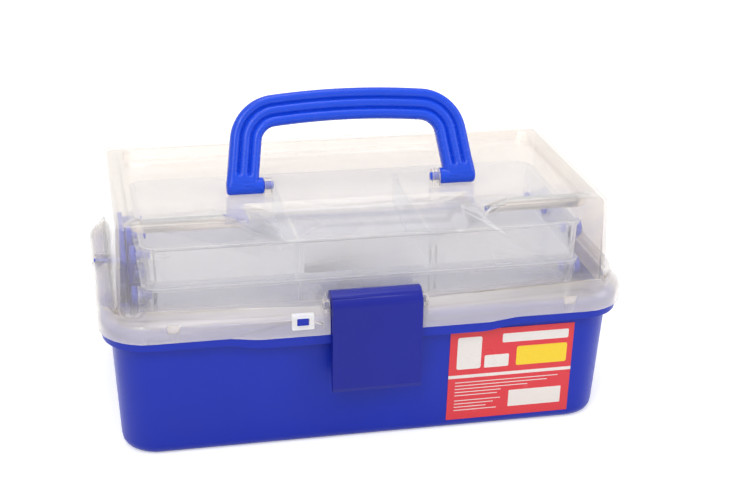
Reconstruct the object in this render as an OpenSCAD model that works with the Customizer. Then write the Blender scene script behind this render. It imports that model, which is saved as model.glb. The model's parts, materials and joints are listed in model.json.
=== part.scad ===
// Two-tray storage box: a tub, a hinged clear lid with a folding bail handle and a front
// latch, and two divided trays that lift out on cantilever arms as the lid opens.
// Millimetres. +X is the box's right, -Y its front, +Z up. The origin is at the middle of
// the tub's flat bottom.

/* [Tub] */
// Length of the tub over its wall, just under the rim
tub_length = 268; // [262:1:276]
// Depth of the tub over its wall, just under the rim
tub_depth = 148; // [144:1:152]
// Height of the tub to the top of its rim
tub_height = 74; // [70:1:80]
// Wall and floor thickness of the tub
tub_wall = 2.2; // [1.8:0.1:3]
// How far each wall leans in from the rim to the floor
tub_draft = 3; // [1:0.5:4]
// Plan radius of the tub's corners under the rim
tub_corner = 19; // [14:1:24]
// Radius of the edge between walls and floor
tub_foot_radius = 6; // [3:0.5:8]
// How far the rim lip stands out from the wall
rim_reach = 4.6; // [3.5:0.1:5]
// Height of the rim lip
rim_height = 9; // [7:0.5:10]
// How far the rim and the skirt dip behind the latch
front_dip = 3; // [1:0.5:4]

/* [Lid] */
// Wall thickness of the lid
lid_wall = 2; // [1.6:0.1:2.4]
// How far each end of the lid's top stands in from the tub's wall
lid_end_inset = 6.5; // [5:0.5:8.5]
// How far the lid's top stands in from the tub's wall at the front and back
lid_side_inset = 11; // [9:0.5:13]
// How far each lid wall leans out from the top to the flange
lid_draft = 4; // [2:0.5:5]
// Plan radius of the lid's corners
lid_corner = 11; // [8:1:14]
// Radius of the lid's top edge
lid_edge_radius = 3.5; // [2:0.5:5]
// Width of the raised border round the sunk top panel
border_width = 9.5; // [7:0.5:12]
// Depth of the sunk top panel
panel_depth = 5.4; // [4:0.2:5.8]
// Depth of the finger scoop below the top
scoop_depth = 11.3; // [9:0.1:11.5]
// Half length of the scoop's flat floor
scoop_half_length = 44; // [38:1:48]
// Length of the curved ramp at each end of the scoop
scoop_ramp = 36; // [30:1:38]
// Depth of the skirt that hangs over the rim
skirt_height = 8.5; // [7:0.5:9]
// Wall thickness of the skirt
skirt_wall = 1.6; // [1.4:0.1:1.9]
// Gap between the skirt and the rim all round
skirt_gap = 0.7; // [0.6:0.1:1]
// Height of the front flange above the rim
flange_rise = 3.4; // [3:0.1:4]
// Height of the raised end flanges above the rim
end_flange_rise = 11; // [10.5:0.5:12]

/* [Hinge] */
// Distance of the hinge line behind the tub's wall
hinge_back = 10; // [9:0.5:12]
// Distance of the hinge line below the rim's top
hinge_drop = 4; // [3:0.5:5]
// Radius of the hinge knuckles
knuckle_radius = 4.2; // [3.8:0.1:4.2]
// Radius of the hinge pins
hinge_pin_radius = 1.5; // [1.2:0.1:2]
// Distance of the middle of each hinge from the tub's end
hinge_inset = 62; // [54:1:79]
// Length of one hinge
hinge_length = 36; // [24:1:44]

/* [Trays] */
// Room between each end of a tray and the outside of the tub's wall
tray_end_room = 16.5; // [16:0.5:18.5]
// Room between the trays and the front of the tub
tray_front_room = 16; // [15.5:0.5:19]
// Room between the trays and the back of the tub
tray_back_room = 35; // [34:1:40]
// Height of one tray
tray_height = 22; // [20:0.5:26]
// Depth of the lower tray's floor below the rim
tray_sink = 6; // [5:0.5:7]
// Room between the upper tray and the lid's finger scoop
tray_head_room = 1.2; // [0.8:0.1:3]
// Wall and floor thickness of the trays and of their dividers
tray_wall = 1.6; // [1.2:0.1:1.8]
// Distance of each divider from the middle of the tray
divider_offset = 35.6; // [25:0.2:45]

/* [Arms] */
// Thickness of the arms
arm_thickness = 2.6; // [2:0.1:2.8]
// Width of the arms
arm_width = 10; // [8:0.5:11]
// Radius of the pins of the arms
arm_pin_radius = 2.5; // [2:0.1:2.6]
// Run of one arm step, from a pivot to the next one, towards the front
arm_run = 31.5; // [31:0.1:32]

/* [Handle] */
// Height of the handle from its pivot line to the top of its grip
handle_height = 50.2; // [48:0.2:53]
// Width of the handle's ribbed band
handle_band = 17; // [15:0.5:18]
// Thickness of the handle
handle_thickness = 9; // [7:0.5:9]
// Half the distance between the middles of the handle's feet
handle_half_span = 60.7; // [59:0.1:62]
// Lean of the raised handle towards the rear, in degrees
handle_lean = 25; // [15:1:30]

/* [Latch] */
// Width of the latch
latch_width = 47.2; // [44:0.4:48]
// Length of the latch below its pivot line
latch_drop = 46; // [40:1:50]
// Radius of the latch's rolled top
latch_roll = 7.8; // [7:0.1:7.8]
// Wall thickness of the latch
latch_wall = 2; // [1.6:0.1:2.4]

/* [Label] */
// Width of the label
label_width = 69; // [50:1:72]
// Height of the label
label_height = 54.5; // [40:0.5:55]

/* [Hidden] */
$fn = 48;

EPS = 0.05;
BAR_INSET = 0.01;
CORNER_STEPS = 8;            // straight steps in a quarter of a moulded corner
RUNNING_GAP = 0.08;          // radial gap of a pin in its bore
SIDE_GAP = 0.4;              // gap between two faces that slide past each other

TUB_BLUE = [0.16, 0.19, 0.70];
HANDLE_BLUE = [0.17, 0.33, 0.90];
LATCH_BLUE = [0.09, 0.16, 0.78];
ARM_BLUE = [0.20, 0.28, 0.82];
CLEAR_WHITE = [0.92, 0.91, 0.89, 0.45];
STEEL = [0.72, 0.73, 0.75];
LABEL_RED = [0.86, 0.20, 0.22];

// Tub.
tub_hx = tub_length / 2;
tub_hy = tub_depth / 2;
rim_z = tub_height;
rim_hx = tub_hx + rim_reach;
rim_hy = tub_hy + rim_reach;
rim_corner = tub_corner + rim_reach;
rim_lip = 1.8;               // thickness of the lip and of the rim's top
dip_flat = 58;               // half length of the dipped stretch of the front
dip_ramp = 20;               // length over which it runs out

// Heights of the trays, and of the box that closes over them.
tray_gap = 0.5;              // gap between the two stacked trays
tray_base_height = tub_height - tray_sink;
upper_tray_z = tray_base_height + tray_height + tray_gap;
box_height = upper_tray_z + tray_height + lid_wall + (tray_head_room + scoop_depth);

// Lid.
top_hx = tub_hx - lid_end_inset;
top_hy = tub_hy - lid_side_inset;
foot_hx = top_hx + lid_draft;
foot_hy = top_hy + lid_draft * 0.75;
foot_z = rim_z + 1.4;        // underside of the lid over the rim
skirt_hx = rim_hx + skirt_gap + skirt_wall;
skirt_hy = rim_hy + skirt_gap + skirt_wall;
skirt_corner = rim_corner + skirt_gap + skirt_wall;
skirt_z = foot_z - skirt_height;
flange_z = rim_z + flange_rise;
end_flange_z = rim_z + end_flange_rise;
flange_round = 6;            // radius of the flange's outer edge
panel_z = box_height - panel_depth;
scoop_z = box_height - scoop_depth;
scoop_back = 27;             // distance of the scoop's back wall ahead of the middle

// Pivots of the linkage, as [y, z].
arm_step = [-arm_run, tray_height + tray_gap + 2.5];
lower_mid_pivot = [-8.5, tray_base_height + 9];
tub_rear_pivot = lower_mid_pivot - arm_step;
upper_front_pivot = lower_mid_pivot + arm_step;
lower_front_pivot = lower_mid_pivot + [-33.5, 3];
tub_front_pivot = lower_front_pivot - arm_step;
lower_rear_pivot = lower_mid_pivot + [32.5, -2];
upper_mid_pivot = lower_rear_pivot + arm_step;
lid_pivot = [0, tub_height + 8];
link_pivot = [24, upper_tray_z + 5.5];
link_pin_radius = 2;
link_slot_rise = 4.5;        // travel of the link's pin in the upper tray's slot
link_slot_play = 0.9;        // gap each side of the pin in that slot

// Planes of the linkage, as distances from the middle of the box.
tray_hx = tub_hx - tray_end_room;
tray_front = tub_hy - tray_front_room;
tray_back = tub_hy - tray_back_room;
tray_foot_hx = tray_hx - 2.2;
tray_pad_x = tray_hx + 1.4;
arm_x = tray_pad_x + SIDE_GAP;
link_x = arm_x + arm_thickness + SIDE_GAP + 0.2;
tub_boss_x = arm_x + arm_thickness + SIDE_GAP;
lid_boss_x = link_x + arm_thickness + SIDE_GAP;
pin_reach = 7.6;             // length of an arm's pin
pin_head = 0.5;              // how far the pin's snap head stands proud

// Trays.
divider_groove = 0.2;        // play of a divider in its guide ribs

// Hinge, handle and latch pivot lines, as [y, z].
hinge_line = [tub_hy + hinge_back, rim_z - hinge_drop];
hinge_offset = tub_hx - hinge_inset;
foot_radius = 4.4;           // radius of the handle's round feet
handle_line = [-14, panel_z + foot_radius + SIDE_GAP];
handle_pin_radius = 2.2;
ear_thickness = 4;
ear_radius = 4.6;
foot_inner_x = 48.6;         // inner face of the handle's feet
latch_line = [-skirt_hy + 4.7, rim_z + latch_roll + 0.9];
latch_pin_radius = 1.8;
latch_pin_reach = 3;

function ramp(t) = (1 - cos(180 * min(max(t, 0), 1))) / 2;

// Closed ring of points of a rounded rectangle, anticlockwise from above.
function ring(hx, y0, y1, r) =
    [for (q = [0:3]) for (i = [0:CORNER_STEPS])
        let (a = 90 * (q + i / CORNER_STEPS),
             cx = (q == 0 || q == 3 ? 1 : -1) * (hx - r),
             cy = (q < 2 ? y1 - r : y0 + r))
        [cx + r * cos(a), cy + r * sin(a)]];

// Solid through a stack of rounded rectangles, each given as [z, hx, y0, y1, corner].
module loft(levels) {
    rings = [for (l = levels) ring(l[1], l[2], l[3], l[4])];
    n = len(rings[0]);
    top = (len(levels) - 1) * n;
    points = [for (k = [0:len(levels) - 1]) for (p = rings[k]) [p.x, p.y, levels[k][0]]];
    sides = [for (k = [0:len(levels) - 2]) for (i = [0:n - 1])
        let (a = k * n + i, b = k * n + (i + 1) % n)
        each [[a, a + n, b], [b, a + n, b + n]]];
    polyhedron(points, concat([[for (i = [0:n - 1]) i]], sides,
                              [[for (i = [n - 1:-1:0]) top + i]]), convexity = 6);
}

// Levels of a quarter-round edge that starts at height z and ends r higher, drawn in by r.
function round_over(z, hx, hy, corner, r) =
    [for (i = [0:4]) let (a = i * 22.5, d = r * (1 - cos(a)))
        [z + r * sin(a), hx - d, -hy + d, hy - d, max(corner - d, 1)]];

// The same edge turned upside down, from height z up to z + r.
function round_under(z, hx, hy, corner, r) =
    [for (i = [4:-1:0]) let (a = i * 22.5, d = r * (1 - cos(a)))
        [z + r * (1 - sin(a)), hx - d, -hy + d, hy - d, max(corner - d, 1)]];

// Bar along X with its middle at [y, z].
module x_rod(x0, x1, line, r) {
    translate([x0, line[0], line[1]]) rotate([0, 90, 0]) cylinder(r = r, h = x1 - x0);
}

// Sheet across X, drawn as [y, z] points.
module x_sheet(x0, x1) {
    translate([x0, 0, 0]) rotate([90, 0, 90]) linear_extrude(x1 - x0) children();
}

module both_sides() {
    children();
    mirror([1, 0, 0]) children();
}

// ---- Tub ----

function tub_levels(inset) =
    let (z0 = inset, r = max(tub_foot_radius - inset, 1),
         hx = tub_hx - tub_draft - inset, hy = tub_hy - tub_draft + 0.6 - inset,
         corner = tub_corner - inset)
    concat(round_under(z0, hx, hy, corner, r),
           [[inset > 0 ? rim_z + 1 : rim_z, tub_hx - inset, -tub_hy + inset, tub_hy - inset, corner]]);

// Outline seen from the front that lowers an edge by front_dip behind the latch.
module dip_outline(z, depth) {
    ramp_steps = 8;
    half = [for (i = [0:ramp_steps]) let (t = i / ramp_steps)
        [dip_flat + dip_ramp * t, z - front_dip * (1 - ramp(t))]];
    span = dip_flat + dip_ramp;
    polygon(concat(half, [[span, z + depth], [-span, z + depth]],
                   [for (i = [ramp_steps:-1:0]) [-half[i].x, half[i].y]]));
}

module rim() {
    rim_bottom = rim_z - rim_height;
    difference() {
        loft([[rim_bottom, rim_hx, -rim_hy, rim_hy, rim_corner],
              [rim_z - 1, rim_hx, -rim_hy, rim_hy, rim_corner],
              [rim_z, rim_hx - 1, -rim_hy + 1, rim_hy - 1, rim_corner - 1]]);
        loft([[rim_bottom - 1, rim_hx - rim_lip, -rim_hy + rim_lip, rim_hy - rim_lip, rim_corner - rim_lip],
              [rim_z - rim_lip, rim_hx - rim_lip, -rim_hy + rim_lip, rim_hy - rim_lip,
               rim_corner - rim_lip]]);
        loft([[rim_z - rim_lip - 1, tub_hx - 1, -tub_hy + 1, tub_hy - 1, tub_corner],
              [rim_z + 1, tub_hx - 1, -tub_hy + 1, tub_hy - 1, tub_corner]]);
    }
    // The lip's dipped stretch, which the latch hooks under.
    intersection() {
        translate([0, -rim_hy + rim_lip, 0]) rotate([90, 0, 0]) linear_extrude(rim_lip)
            dip_outline(rim_bottom, 1);
        translate([0, 0, rim_bottom]) cube([2 * (rim_hx - rim_corner), 2 * rim_hy, 4 * front_dip], center = true);
    }
}

module tub_hinge_leaf() {
    leaf = hinge_length / 3 - SIDE_GAP;
    for (side = [-1, 1]) translate([side * (hinge_length + leaf) / 2 - side * leaf, 0, 0])
        x_sheet(-leaf / 2, leaf / 2) {
            translate(hinge_line) circle(knuckle_radius);
            polygon([[tub_hy - 1, rim_z - rim_lip], [hinge_line[0], hinge_line[1] + knuckle_radius - 1],
                     [hinge_line[0], hinge_line[1] - knuckle_radius],
                     [tub_hy - 1.4, rim_z - 20]]);
        }
}

module tub() {
    color(TUB_BLUE) difference() {
        union() {
            difference() {
                loft(tub_levels(0));
                loft(tub_levels(tub_wall));
            }
            rim();
            for (side = [-1, 1]) translate([side * hinge_offset, 0, 0]) tub_hinge_leaf();
            both_sides() intersection() {
                union() {
                    x_rod(tub_boss_x, tub_hx, tub_rear_pivot, arm_width / 2 + 0.6);
                    x_rod(tub_boss_x, tub_hx, tub_front_pivot, arm_width / 2 + 0.6);
                }
                loft(tub_levels(tub_wall / 2));
            }
        }
        for (side = [-1, 1]) x_rod(side * hinge_offset - hinge_length, side * hinge_offset + hinge_length,
                                   hinge_line, hinge_pin_radius);
        both_sides() {
            x_rod(tub_boss_x - 1, tub_boss_x + pin_reach + 0.4, tub_rear_pivot, arm_pin_radius + RUNNING_GAP);
            x_rod(tub_boss_x - 1, tub_boss_x + pin_reach + 0.4, tub_front_pivot, arm_pin_radius + RUNNING_GAP);
        }
    }
}

// ---- Lid ----

function lid_levels(inset, top) =
    let (r = max(lid_edge_radius - inset, 1), corner = lid_corner - inset)
    concat([[foot_z - (inset > 0 ? 1 : 0), foot_hx - inset, -foot_hy + inset, foot_hy - inset, corner + 2]],
           round_over(top - r, top_hx - inset, top_hy - inset, corner, r));

module panel_block(grow) {
    hx = top_hx - border_width + grow;
    hy = top_hy - border_width + grow;
    loft([[panel_z - grow, hx - 1, -hy + 1, hy - 1, 5 + grow],
          [box_height + 1, hx, -hy, hy, 6 + grow]]);
}

// Finger scoop: a flat floor with a curved ramp at each end, open to the front.
module scoop_block(grow) {
    steps = 10;
    rise = box_height - scoop_z + 0.6;
    half = [for (i = [0:steps]) let (t = i / steps)
        [scoop_half_length + grow + scoop_ramp * t, scoop_z - grow + rise * ramp(t)]];
    top = box_height + 2;
    translate([0, -scoop_back + grow, 0]) rotate([90, 0, 0]) linear_extrude(skirt_hy)
        polygon(concat(half, [[half[steps].x, top], [-half[steps].x, top]],
                       [for (i = [steps:-1:0]) [-half[i].x, half[i].y]]));
}

module flange_shell() {
    skirt_edge = flange_z - flange_round;
    difference() {
        union() {
            loft(concat([[skirt_z, skirt_hx, -skirt_hy, skirt_hy, skirt_corner]],
                        round_over(skirt_edge, skirt_hx, skirt_hy, skirt_corner, flange_round)));
            loft(concat([[skirt_z, skirt_hx, -foot_hy, foot_hy, skirt_corner]],
                        round_over(end_flange_z - flange_round, skirt_hx, foot_hy, skirt_corner, flange_round)));
            front_skirt();
        }
        flange_hollow();
    }
}

module flange_hollow() {
    hx = skirt_hx - skirt_wall;
    hy = skirt_hy - skirt_wall;
    corner = skirt_corner - skirt_wall;
    loft([[skirt_z - 10, hx, -hy, hy, corner],
          [foot_z, hx, -hy, hy, corner]]);
    end_top = end_flange_z - lid_wall - 3;
    end_hy = foot_hy - lid_wall;
    loft([[foot_z - 1, hx, -end_hy, end_hy, corner],
          [end_top, hx - 1, -end_hy + 1, end_hy - 1, corner - 1],
          [end_top + 3, hx - 5, -end_hy + 5, end_hy - 5, corner - 5]]);
}

// Lower edge of the front skirt, dipped behind the latch.
module front_skirt() {
    intersection() {
        translate([0, -skirt_hy + skirt_wall, 0]) rotate([90, 0, 0]) linear_extrude(skirt_wall)
            dip_outline(skirt_z, 1);
        translate([0, 0, skirt_z]) cube([2 * (skirt_hx - skirt_corner), 3 * skirt_hy, 4 * front_dip], center = true);
    }
}

// Round ear for a pivot pin, standing on a flat at height base_z.
module ear_outline(line, r, base_z) {
    translate(line) circle(r);
    translate([line[0] - r, base_z - 1]) square([2 * r, line[1] - base_z + 1]);
}

module handle_ears() {
    both_sides() x_sheet(foot_inner_x - SIDE_GAP - ear_thickness, foot_inner_x - SIDE_GAP)
        ear_outline(handle_line, ear_radius, panel_z);
}

notch_half = latch_width / 2 + SIDE_GAP + 0.2;
latch_ear = 3.4;

module latch_ears() {
    both_sides() x_sheet(notch_half, notch_half + latch_ear) {
        translate(latch_line) circle(3.4);
        polygon([[latch_line[0] - 3.4, latch_line[1]], [latch_line[0] + 3.4, latch_line[1]],
                 [-foot_hy + 1, latch_line[1] + 2], [-foot_hy + 1, foot_z],
                 [-skirt_hy + skirt_wall, foot_z], [-skirt_hy, skirt_z], [-skirt_hy, flange_z - 4]]);
    }
}

// Frame of the padlock eye beside the latch.
eye_x = -36;
eye_z = skirt_z + 5;
module eye_frame() {
    translate([eye_x, -skirt_hy, eye_z]) cube([11, 1.2, 6.4], center = true);
}

// Small tapered rib on the front of the skirt.
module skirt_rib(x) {
    translate([x, -skirt_hy + EPS, skirt_z + 1.2]) rotate([90, 0, 0])
        linear_extrude(1.1) polygon([[-3.4, 8.5], [-2.2, 1.4], [-1, 0], [1, 0], [2.2, 1.4], [3.4, 8.5]]);
}

module lid_hinge_leaf() {
    leaf = hinge_length / 3 - SIDE_GAP;
    x_sheet(-leaf / 2, leaf / 2) {
        translate(hinge_line) circle(knuckle_radius);
        polygon([[foot_hy - 1, foot_z + 1], [foot_hy - 1, foot_z + 8],
                 [hinge_line[0] + knuckle_radius * 0.6, hinge_line[1] + knuckle_radius * 0.8],
                 [hinge_line[0] - 1, hinge_line[1] + 1], [hinge_line[0] - knuckle_radius, rim_z + 0.9]]);
    }
}

module lid() {
    color(CLEAR_WHITE) difference() {
        union() {
            difference() {
                union() {
                    loft(lid_levels(0, box_height));
                    flange_shell();
                }
                difference() {
                    loft(lid_levels(lid_wall, box_height - lid_wall));
                    panel_block(lid_wall);
                    scoop_block(lid_wall);
                }
                panel_block(0);
                scoop_block(0);
            }
            handle_ears();
            latch_ears();
            eye_frame();
            for (x = [-1, 1] * (tub_hx - 30)) skirt_rib(x);
            for (side = [-1, 1]) translate([side * hinge_offset, 0, 0]) lid_hinge_leaf();
            both_sides() x_rod(lid_boss_x, skirt_hx - 2, lid_pivot, 4.6);
        }
        // The skirt stops short of the rear corners, so that the lid can swing down behind the tub.
        skirt_end = skirt_hy - skirt_corner;
        difference() {
            translate([-skirt_hx - 1, skirt_end, skirt_z - 5])
                cube([2 * skirt_hx + 2, skirt_corner + 10, foot_z - skirt_z + 5]);
            for (side = [-1, 1]) translate([side * hinge_offset, 0, 0]) lid_hinge_leaf();
        }
        // The latch's notch and the window of the padlock eye.
        translate([-notch_half, -skirt_hy - 5, skirt_z - 10])
            cube([2 * notch_half, skirt_hy + 5 - foot_hy, 40]);
        translate([eye_x, -skirt_hy, eye_z]) cube([6, 8, 3], center = true);
        both_sides() {
            x_rod(foot_inner_x - 10, foot_inner_x, handle_line, handle_pin_radius + RUNNING_GAP);
            x_rod(notch_half - 1, notch_half + latch_ear + 1, latch_line, latch_pin_radius + RUNNING_GAP);
            x_rod(lid_boss_x - 1, skirt_hx + 1, lid_pivot, link_pin_radius + RUNNING_GAP);
        }
        for (side = [-1, 1]) x_rod(side * hinge_offset - hinge_length, side * hinge_offset + hinge_length,
                                   hinge_line, hinge_pin_radius + RUNNING_GAP);
    }
}

module hinge_pin(side) {
    color(STEEL) x_rod(side * hinge_offset - hinge_length / 2, side * hinge_offset + hinge_length / 2,
                       hinge_line, hinge_pin_radius);
}

// ---- Trays ----

function tray_levels(inset, z0, z1) = [
    [z0, tray_foot_hx - inset, -tray_front + 1 + inset, tray_back - 1 - inset, 6 - inset],
    [z1, tray_hx - 1.2 - inset, -tray_front + inset + 0.2, tray_back - inset - 0.2, 7 - inset]];

guide_rib = 2.4;

module tray(z0, pivots, slot) {
    top = z0 + tray_height;
    color(CLEAR_WHITE) difference() {
        union() {
            difference() {
                union() {
                    loft(tray_levels(0, z0, top));
                    loft([[top - 1.6, tray_hx, -tray_front - 1, tray_back + 1, 8],
                          [top, tray_hx, -tray_front - 1, tray_back + 1, 8]]);
                }
                loft([[z0 + tray_wall, tray_foot_hx - tray_wall, -tray_front + 1 + tray_wall,
                       tray_back - 1 - tray_wall, 6 - tray_wall],
                      [top + 1, tray_hx - 1.2 - tray_wall, -tray_front + tray_wall + 0.2,
                       tray_back - tray_wall - 0.2, 7 - tray_wall]]);
            }
            both_sides() intersection() {
                for (p = concat(pivots, slot)) x_rod(tray_foot_hx - tray_wall, tray_pad_x, p, arm_width / 2 - 0.2);
                translate([0, -tray_front, z0]) cube([tray_pad_x, tray_front + tray_back, tray_height]);
            }
            divider_guides(z0);
        }
        both_sides() {
            for (p = pivots) x_rod(tray_hx - 12, tray_hx + 3, p, arm_pin_radius + RUNNING_GAP);
            for (p = slot) slot_hole(p);
        }
    }
}

// Upright slot for the lid link's pin.
module slot_hole(p) {
    r = link_pin_radius + link_slot_play;
    x_sheet(tray_hx - 12, tray_hx + 3) {
        translate(p) circle(r);
        translate(p + [0, link_slot_rise]) circle(r);
        translate(p + [-r, 0]) square([2 * r, link_slot_rise]);
    }
}

// Pairs of upright ribs on the long walls that hold the dividers.
module divider_guides(z0) {
    for (x = [-divider_offset, divider_offset]) for (side = [-1, 1]) {
        gap = tray_wall / 2 + divider_groove;
        rib_x = x + side * (gap + 0.6);
        for (y = [-tray_front + 1 + tray_wall, tray_back - 1 - tray_wall])
            translate([rib_x, y, z0 + tray_wall / 2 + (tray_height - 4) / 2])
                cube([1.2, guide_rib, tray_height - 4], center = true);
    }
}

module lower_tray() {
    tray(tray_base_height, [lower_front_pivot, lower_mid_pivot, lower_rear_pivot], []);
}

module upper_tray() {
    tray(upper_tray_z, [upper_front_pivot, upper_mid_pivot], [link_pivot]);
}

// Removable divider: it stands on the tray's floor between the guide ribs.
module divider(z0, side) {
    y0 = -tray_front + 1 + tray_wall + 0.3;
    y1 = tray_back - 1 - tray_wall - 0.3;
    height = tray_height - tray_wall - 2.4;
    color(CLEAR_WHITE) translate([side * divider_offset, 0, z0 + tray_wall])
        x_sheet(-tray_wall / 2, tray_wall / 2)
            polygon([[y0, 0], [y1, 0], [y1, height], [y1 - 6, height], [y1 - 9, height - 2],
                     [y0 + 9, height - 2], [y0 + 6, height], [y0, height]]);
}

// ---- Arms ----

// Pin with a snap head: along X from the arm's face at x, towards dir.
module snap_pin(x, dir, line, r, length) {
    translate([x, line[0], line[1]]) rotate([0, dir * 90, 0]) {
        cylinder(r = r, h = length);
        translate([0, 0, length - 1.4]) cylinder(r1 = r + pin_head, r2 = r - 0.4, h = 1.4);
    }
}

// Flat bar with round ends from pivot p to pivot q. Its sides stand BAR_INSET inside the
// round ends, so that they cross them instead of only touching.
module bar_outline(p, q, width) {
    d = q - p;
    translate(p) circle(width / 2);
    translate(q) circle(width / 2);
    translate(p) rotate(atan2(d.y, d.x)) translate([0, BAR_INSET - width / 2]) square([norm(d), width - 2 * BAR_INSET]);
}

module arm_plate(x, stations, width) {
    difference() {
        x_sheet(x, x + arm_thickness)
            for (i = [0:len(stations) - 2]) bar_outline(stations[i], stations[i + 1], width);
        // Shallow moulded pocket along each step of the arm.
        x_sheet(x + arm_thickness - 0.7, x + arm_thickness + 1)
            for (i = [0:len(stations) - 2]) {
                d = (stations[i + 1] - stations[i]) / norm(stations[i + 1] - stations[i]);
                bar_outline(stations[i] + d * (width / 2 + 4), stations[i + 1] - d * (width / 2 + 4), width - 4.4);
            }
    }
}

module long_arm() {
    color(ARM_BLUE) {
        arm_plate(arm_x, [tub_rear_pivot, lower_mid_pivot, upper_front_pivot], arm_width);
        x_rod(arm_x + arm_thickness - EPS, tub_boss_x + pin_reach, tub_rear_pivot, arm_pin_radius);
        snap_pin(arm_x + EPS, -1, lower_mid_pivot, arm_pin_radius, pin_reach);
        snap_pin(arm_x + EPS, -1, upper_front_pivot, arm_pin_radius, pin_reach);
    }
}

module front_arm() {
    color(ARM_BLUE) {
        arm_plate(arm_x, [tub_front_pivot, lower_front_pivot], arm_width);
        x_rod(arm_x + arm_thickness - EPS, tub_boss_x + pin_reach, tub_front_pivot, arm_pin_radius);
        snap_pin(arm_x + EPS, -1, lower_front_pivot, arm_pin_radius, pin_reach);
    }
}

module rear_arm() {
    color(ARM_BLUE) {
        arm_plate(arm_x, [lower_rear_pivot, upper_mid_pivot], arm_width);
        snap_pin(arm_x + EPS, -1, lower_rear_pivot, arm_pin_radius, pin_reach);
        snap_pin(arm_x + EPS, -1, upper_mid_pivot, arm_pin_radius, pin_reach);
    }
}

module lid_link() {
    color(ARM_BLUE) {
        arm_plate(link_x, [lid_pivot, link_pivot], arm_width - 1);
        x_rod(link_x + arm_thickness - EPS, skirt_hx - 1.4, lid_pivot, link_pin_radius);
        snap_pin(link_x + EPS, -1, link_pivot, link_pin_radius, link_x - arm_x + pin_reach);
    }
}

// ---- Handle ----

handle_flare = 8;            // lean of each leg outwards, in degrees
crown_radius = 320;          // gentle arch of the grip
bend_radius = 17.5;          // bend of the middle line between grip and leg

crown_z = handle_height - handle_band / 2;
crown_span = asin((handle_half_span - bend_radius * cos(handle_flare)
                   - (crown_z - bend_radius * (1 - sin(handle_flare)) - 2.7) * tan(handle_flare))
                  / (crown_radius - bend_radius));
bend_centre = [(crown_radius - bend_radius) * sin(crown_span),
               crown_z - crown_radius + (crown_radius - bend_radius) * cos(crown_span)];
leg_top = bend_centre + bend_radius * [cos(handle_flare), sin(handle_flare)];

// Middle line of the right half, from the foot to the crown, as [x, z, direction of its outer side].
half_path = concat(
    [for (i = [0:2]) let (t = i / 3)
        [leg_top.x + leg_top.y * (1 - t) * tan(handle_flare), leg_top.y * t, handle_flare]],
    [for (i = [0:9]) let (a = handle_flare + (90 - crown_span - handle_flare) * i / 9)
        [bend_centre.x + bend_radius * cos(a), bend_centre.y + bend_radius * sin(a), a]],
    [for (i = [1:3]) let (a = 90 - crown_span * (1 - i / 3))
        [crown_radius * cos(a), crown_z - crown_radius + crown_radius * sin(a), a]]);
handle_path = concat(half_path, [for (i = [len(half_path) - 2:-1:0])
    [-half_path[i][0], half_path[i][1], 180 - half_path[i][2]]]);

// Section across the band, as [distance from the middle line, depth]: three round ribs
// with two grooves on the front and back.
rib_bounds = [-0.5, -0.16, 0.16, 0.5];
function ribbed_edge(sign) = [for (k = [0:2]) for (i = [0:5])
    let (a = 180 - i * 36, w = (rib_bounds[k + 1] - rib_bounds[k]) * handle_band / 2 * 0.92,
         mid = (rib_bounds[k + 1] + rib_bounds[k]) * handle_band / 2)
    [mid + w * cos(a), sign * (handle_thickness / 2 - 2.4 + 2.4 * sin(a))]];
function reversed(v) = [for (i = [len(v) - 1:-1:0]) v[i]];
handle_section = concat(ribbed_edge(-1), reversed(ribbed_edge(1)));

module swept_band(path, section) {
    n = len(section);
    last = (len(path) - 1) * n;
    points = [for (p = path) for (s = section)
        [p[0] + s.x * cos(p[2]), s.y, p[1] + s.x * sin(p[2])]];
    sides = [for (k = [0:len(path) - 2]) for (i = [0:n - 1])
        let (a = k * n + i, b = k * n + (i + 1) % n)
        each [[a, a + n, b], [b, a + n, b + n]]];
    // The section's front and back points lie in pairs, so each end is a strip of quads.
    caps = [for (i = [0:n / 2 - 2]) let (quad = [i, i + 1, n - 2 - i, n - 1 - i])
        each [quad, reversed([for (q = quad) last + q])]];
    polyhedron(points, concat(sides, caps), convexity = 8);
}

module handle() {
    foot_outer_x = handle_half_span + handle_band / 2;
    color(HANDLE_BLUE) translate([0, handle_line[0], handle_line[1]]) rotate([-handle_lean, 0, 0]) {
        swept_band(handle_path, handle_section);
        both_sides() {
            x_rod(foot_inner_x, foot_outer_x - 2, [0, 0], foot_radius);
            translate([foot_outer_x - 2 - EPS, 0, 0]) rotate([0, 90, 0])
                cylinder(r1 = foot_radius, r2 = foot_radius - 1.6, h = 2);
            x_rod(foot_inner_x - SIDE_GAP - ear_thickness - 0.8, foot_inner_x + 1, [0, 0], handle_pin_radius);
        }
    }
}

// ---- Latch ----

latch_lean = 1.6;            // how far the lower edge stands ahead of the rolled top
hook_z = rim_z - rim_height - front_dip - 0.7;
cheek_back = -rim_hy - SIDE_GAP;

module latch_outer() {
    front_y = latch_line[0] - latch_roll;
    bottom = latch_line[1] - latch_drop;
    translate(latch_line) intersection() {
        circle(latch_roll);
        translate([-20, -2]) square([40, 30]);
    }
    polygon([[front_y, latch_line[1] + EPS], [front_y - latch_lean, bottom + 2],
             [front_y - latch_lean + 0.6, bottom], [front_y - latch_lean + 2.2, bottom],
             [cheek_back, hook_z - 6], [cheek_back, rim_z + 1.2],
             [latch_line[0] + latch_roll * 0.6, latch_line[1] - latch_roll * 0.6],
             [latch_line[0] + latch_roll * 0.9, latch_line[1] + EPS]]);
}

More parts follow.
